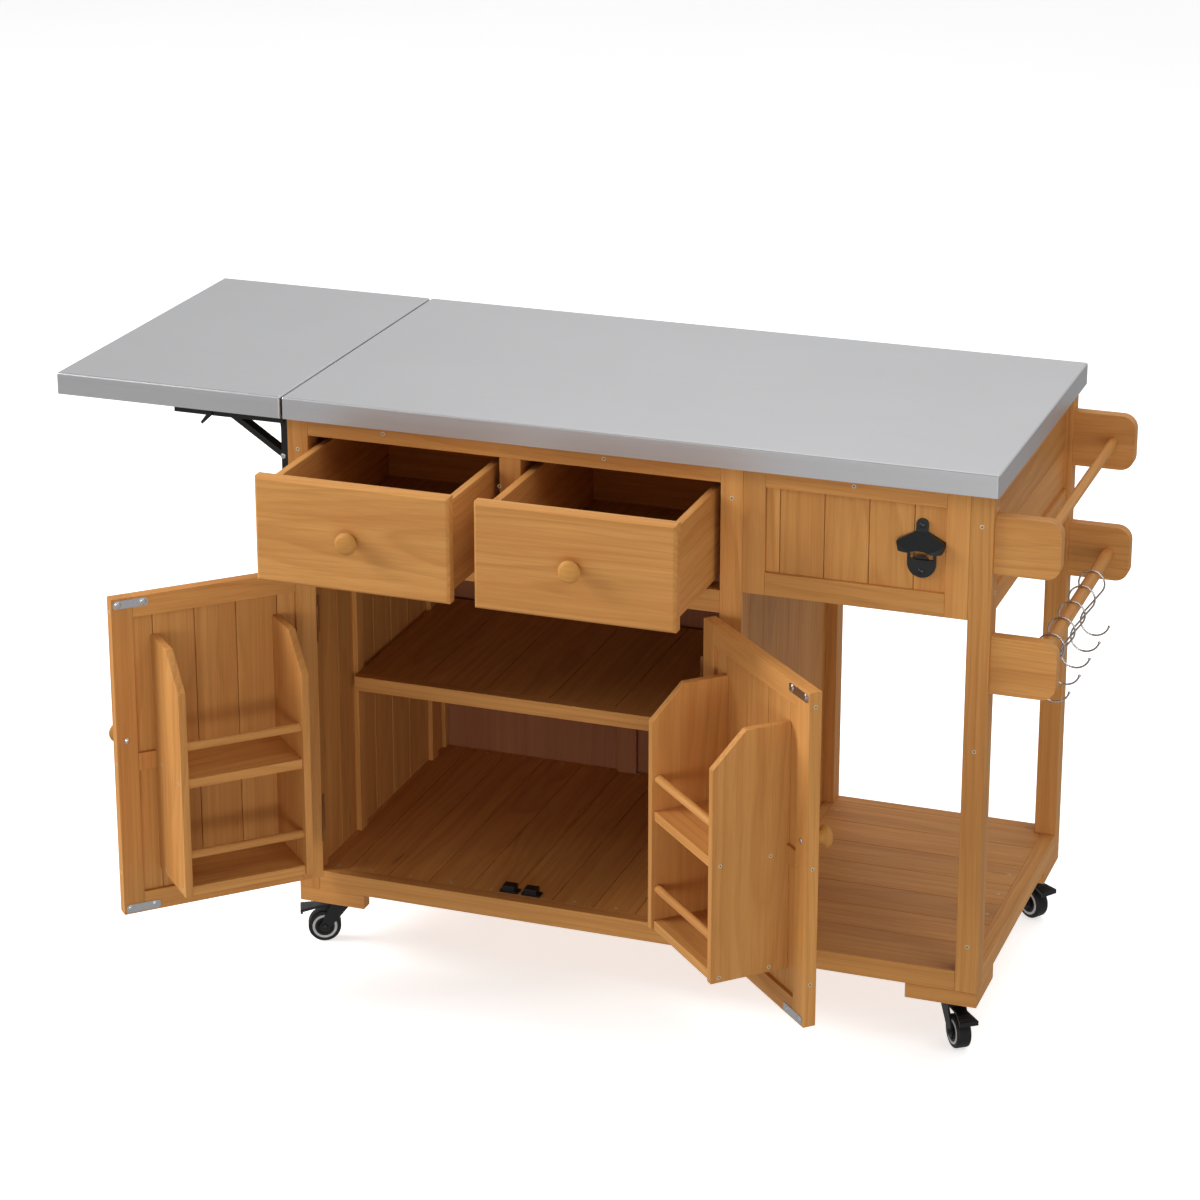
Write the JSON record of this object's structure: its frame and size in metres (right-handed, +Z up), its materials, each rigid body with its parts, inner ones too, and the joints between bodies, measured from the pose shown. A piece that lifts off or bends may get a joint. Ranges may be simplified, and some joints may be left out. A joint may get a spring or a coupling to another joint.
{
  "type": "outdoor kitchen cart",
  "caption": "Rolling wooden outdoor kitchen island with a steel worktop, a drop leaf, drawers, doors with spice racks, an open bay, towel bars and hooks.",
  "frame": {"origin": "on the floor, at the centre of the box around the cart with the leaf raised, the drawers part way out and the doors open", "axes": "+X to the right along the front, +Y to the back, +Z up"},
  "size_m": [1.566, 0.8626, 0.914],
  "materials": {
    "fir": "oiled",
    "knob_wood": "oiled",
    "plywood": "oiled",
    "core_board": "painted",
    "stainless": "satin",
    "black_steel": "satin black",
    "zinc": "zinc plated",
    "black_plastic": "matte",
    "tyre_black": "matte",
    "cast_black": "painted black",
    "chrome": "polished"
  },
  "bodies": {
    "cabinet": {"posts": "fir", "base_rails": "fir", "drawer_frame": "fir", "side_panels": "fir", "back_panel": "plywood", "cabinet_floor": "fir", "bay_floor": "fir", "shelf": "fir", "shelf_cleats": "fir", "bay_aprons": "fir", "feet": "fir", "caster_plates": "black_steel", "drawer_channels": "black_steel", "door_hinges": "zinc", "magnetic_catches": "black_plastic", "towel_rack": "fir", "bottle_opener": "cast_black", "wall_arms": "black_steel", "worktop_skin": "stainless", "worktop_core": "core_board"},
    "leaf": {"leaf_skin": "stainless", "leaf_core": "core_board", "leaf_arms": "black_steel"},
    "leaf_strut_front": {"leaf_strut_front": "black_steel"},
    "release_lever_front": {"release_lever_front": "black_steel"},
    "leaf_strut_rear": {"leaf_strut_rear": "black_steel"},
    "release_lever_rear": {"release_lever_rear": "black_steel"},
    "drawer_left": {"drawer_left_front": "fir", "drawer_left_box": "fir", "drawer_left_knob": "knob_wood", "drawer_left_runners": "black_steel"},
    "door_left": {"door_left_panel": "fir", "door_left_rack": "fir", "door_left_knob": "knob_wood", "door_left_hardware": "zinc"},
    "drawer_right": {"drawer_right_front": "fir", "drawer_right_box": "fir", "drawer_right_knob": "knob_wood", "drawer_right_runners": "black_steel"},
    "door_right": {"door_right_panel": "fir", "door_right_rack": "fir", "door_right_knob": "knob_wood", "door_right_hardware": "zinc"},
    "fork_front_left": {"caster_fork_front_left": "black_steel"},
    "wheel_front_left": {"caster_wheel_front_left": "tyre_black"},
    "pedal_front_left": {"brake_pedal_front_left": "black_plastic"},
    "fork_front_right": {"caster_fork_front_right": "black_steel"},
    "wheel_front_right": {"caster_wheel_front_right": "tyre_black"},
    "pedal_front_right": {"brake_pedal_front_right": "black_plastic"},
    "fork_rear_left": {"caster_fork_rear_left": "black_steel"},
    "wheel_rear_left": {"caster_wheel_rear_left": "tyre_black"},
    "pedal_rear_left": {"brake_pedal_rear_left": "black_plastic"},
    "fork_rear_right": {"caster_fork_rear_right": "black_steel"},
    "wheel_rear_right": {"caster_wheel_rear_right": "tyre_black"},
    "pedal_rear_right": {"brake_pedal_rear_right": "black_plastic"},
    "hook_1": {"s_hook_1": "chrome"},
    "hook_2": {"s_hook_2": "chrome"},
    "hook_3": {"s_hook_3": "chrome"},
    "hook_4": {"s_hook_4": "chrome"},
    "hook_5": {"s_hook_5": "chrome"}
  },
  "joints": [
    {"name": "leaf_fold", "type": "hinge", "parent": "cabinet", "child": "leaf", "pos_m": [-0.412, 0, 0.873], "axis": [0, -1, 0], "range_deg": [0, 90]},
    {"name": "strut_front_swing", "type": "hinge", "parent": "cabinet", "child": "leaf_strut_front", "pos_m": [-0.4116, -0.12974, 0.815], "axis": [0, -1, 0], "range_deg": [0, 123.55]},
    {"name": "release_lever_front_pull", "type": "hinge", "parent": "leaf", "child": "release_lever_front", "pos_m": [-0.528, -0.12974, 0.873], "axis": [0, 1, 0], "range_deg": [0, 30], "stiffness_Nm_per_rad": 0.05},
    {"name": "strut_rear_swing", "type": "hinge", "parent": "cabinet", "child": "leaf_strut_rear", "pos_m": [-0.4116, 0.40226, 0.815], "axis": [0, -1, 0], "range_deg": [0, 123.55]},
    {"name": "release_lever_rear_pull", "type": "hinge", "parent": "leaf", "child": "release_lever_rear", "pos_m": [-0.528, 0.40226, 0.873], "axis": [0, 1, 0], "range_deg": [0, 30], "stiffness_Nm_per_rad": 0.05},
    {"name": "drawer_left_slide", "type": "slide", "parent": "cabinet", "child": "drawer_left", "axis": [0, 1, 0], "range_m": [-0.105, 0.195]},
    {"name": "door_left_swing", "type": "hinge", "parent": "cabinet", "child": "door_left", "pos_m": [-0.369, -0.14554, 0.137], "axis": [0, 0, 1], "range_deg": [-15, 135]},
    {"name": "drawer_right_slide", "type": "slide", "parent": "cabinet", "child": "drawer_right", "axis": [0, 1, 0], "range_m": [-0.105, 0.195]},
    {"name": "door_right_swing", "type": "hinge", "parent": "cabinet", "child": "door_right", "pos_m": [0.282, -0.14554, 0.137], "axis": [0, 0, -1], "range_deg": [-15, 135]},
    {"name": "caster_front_left_swivel", "type": "hinge", "parent": "cabinet", "child": "fork_front_left", "pos_m": [-0.358, -0.09574, 0.0707], "axis": [0, 0, 1], "continuous": true},
    {"name": "wheel_front_left_roll", "type": "hinge", "parent": "fork_front_left", "child": "wheel_front_left", "pos_m": [-0.37975, -0.10588, 0.026], "axis": [0.4226, -0.9063, 0], "continuous": true},
    {"name": "brake_front_left_press", "type": "hinge", "parent": "fork_front_left", "child": "pedal_front_left", "pos_m": [-0.36162, -0.09743, 0.0587], "axis": [0.4226, -0.9063, 0], "range_deg": [0, 10]},
    {"name": "caster_front_right_swivel", "type": "hinge", "parent": "cabinet", "child": "fork_front_right", "pos_m": [0.641, -0.09574, 0.0707], "axis": [0, 0, 1], "continuous": true},
    {"name": "wheel_front_right_roll", "type": "hinge", "parent": "fork_front_right", "child": "wheel_front_right", "pos_m": [0.65544, -0.1149, 0.026], "axis": [0.7986, 0.6018, 0], "continuous": true},
    {"name": "brake_front_right_press", "type": "hinge", "parent": "fork_front_right", "child": "pedal_front_right", "pos_m": [0.64341, -0.09893, 0.0587], "axis": [0.7986, 0.6018, 0], "range_deg": [0, 10]},
    {"name": "caster_rear_left_swivel", "type": "hinge", "parent": "cabinet", "child": "fork_rear_left", "pos_m": [-0.358, 0.36826, 0.0707], "axis": [0, 0, 1], "continuous": true},
    {"name": "wheel_rear_left_roll", "type": "hinge", "parent": "fork_rear_left", "child": "wheel_rear_left", "pos_m": [-0.37878, 0.38026, 0.026], "axis": [-0.5, -0.866, 0], "continuous": true},
    {"name": "brake_rear_left_press", "type": "hinge", "parent": "fork_rear_left", "child": "pedal_rear_left", "pos_m": [-0.36146, 0.37026, 0.0587], "axis": [-0.5, -0.866, 0], "range_deg": [0, 10]},
    {"name": "caster_rear_right_swivel", "type": "hinge", "parent": "cabinet", "child": "fork_rear_right", "pos_m": [0.641, 0.36826, 0.0707], "axis": [0, 0, 1], "continuous": true},
    {"name": "wheel_rear_right_roll", "type": "hinge", "parent": "fork_rear_right", "child": "wheel_rear_right", "pos_m": [0.66066, 0.3545, 0.026], "axis": [0.5736, 0.8192, 0], "continuous": true},
    {"name": "brake_rear_right_press", "type": "hinge", "parent": "fork_rear_right", "child": "pedal_rear_right", "pos_m": [0.64428, 0.36597, 0.0587], "axis": [0.5736, 0.8192, 0], "range_deg": [0, 10]},
    {"name": "hook_1_swing", "type": "hinge", "parent": "cabinet", "child": "hook_1", "pos_m": [0.749, -0.01474, 0.6205], "axis": [0, 1, 0], "range_deg": [-30, 30]},
    {"name": "hook_2_swing", "type": "hinge", "parent": "cabinet", "child": "hook_2", "pos_m": [0.749, 0.05626, 0.6205], "axis": [0, 1, 0], "range_deg": [-30, 30]},
    {"name": "hook_3_swing", "type": "hinge", "parent": "cabinet", "child": "hook_3", "pos_m": [0.749, 0.12726, 0.6205], "axis": [0, 1, 0], "range_deg": [-30, 30]},
    {"name": "hook_4_swing", "type": "hinge", "parent": "cabinet", "child": "hook_4", "pos_m": [0.749, 0.19826, 0.6205], "axis": [0, 1, 0], "range_deg": [-30, 30]},
    {"name": "hook_5_swing", "type": "hinge", "parent": "cabinet", "child": "hook_5", "pos_m": [0.749, 0.26926, 0.6205], "axis": [0, 1, 0], "range_deg": [-30, 30]}
  ],
  "couplings": [
    {"joint": "strut_front_swing", "follows": "leaf_fold", "ratio": 1.3673},
    {"joint": "strut_rear_swing", "follows": "leaf_fold", "ratio": 1.3673}
  ]
}
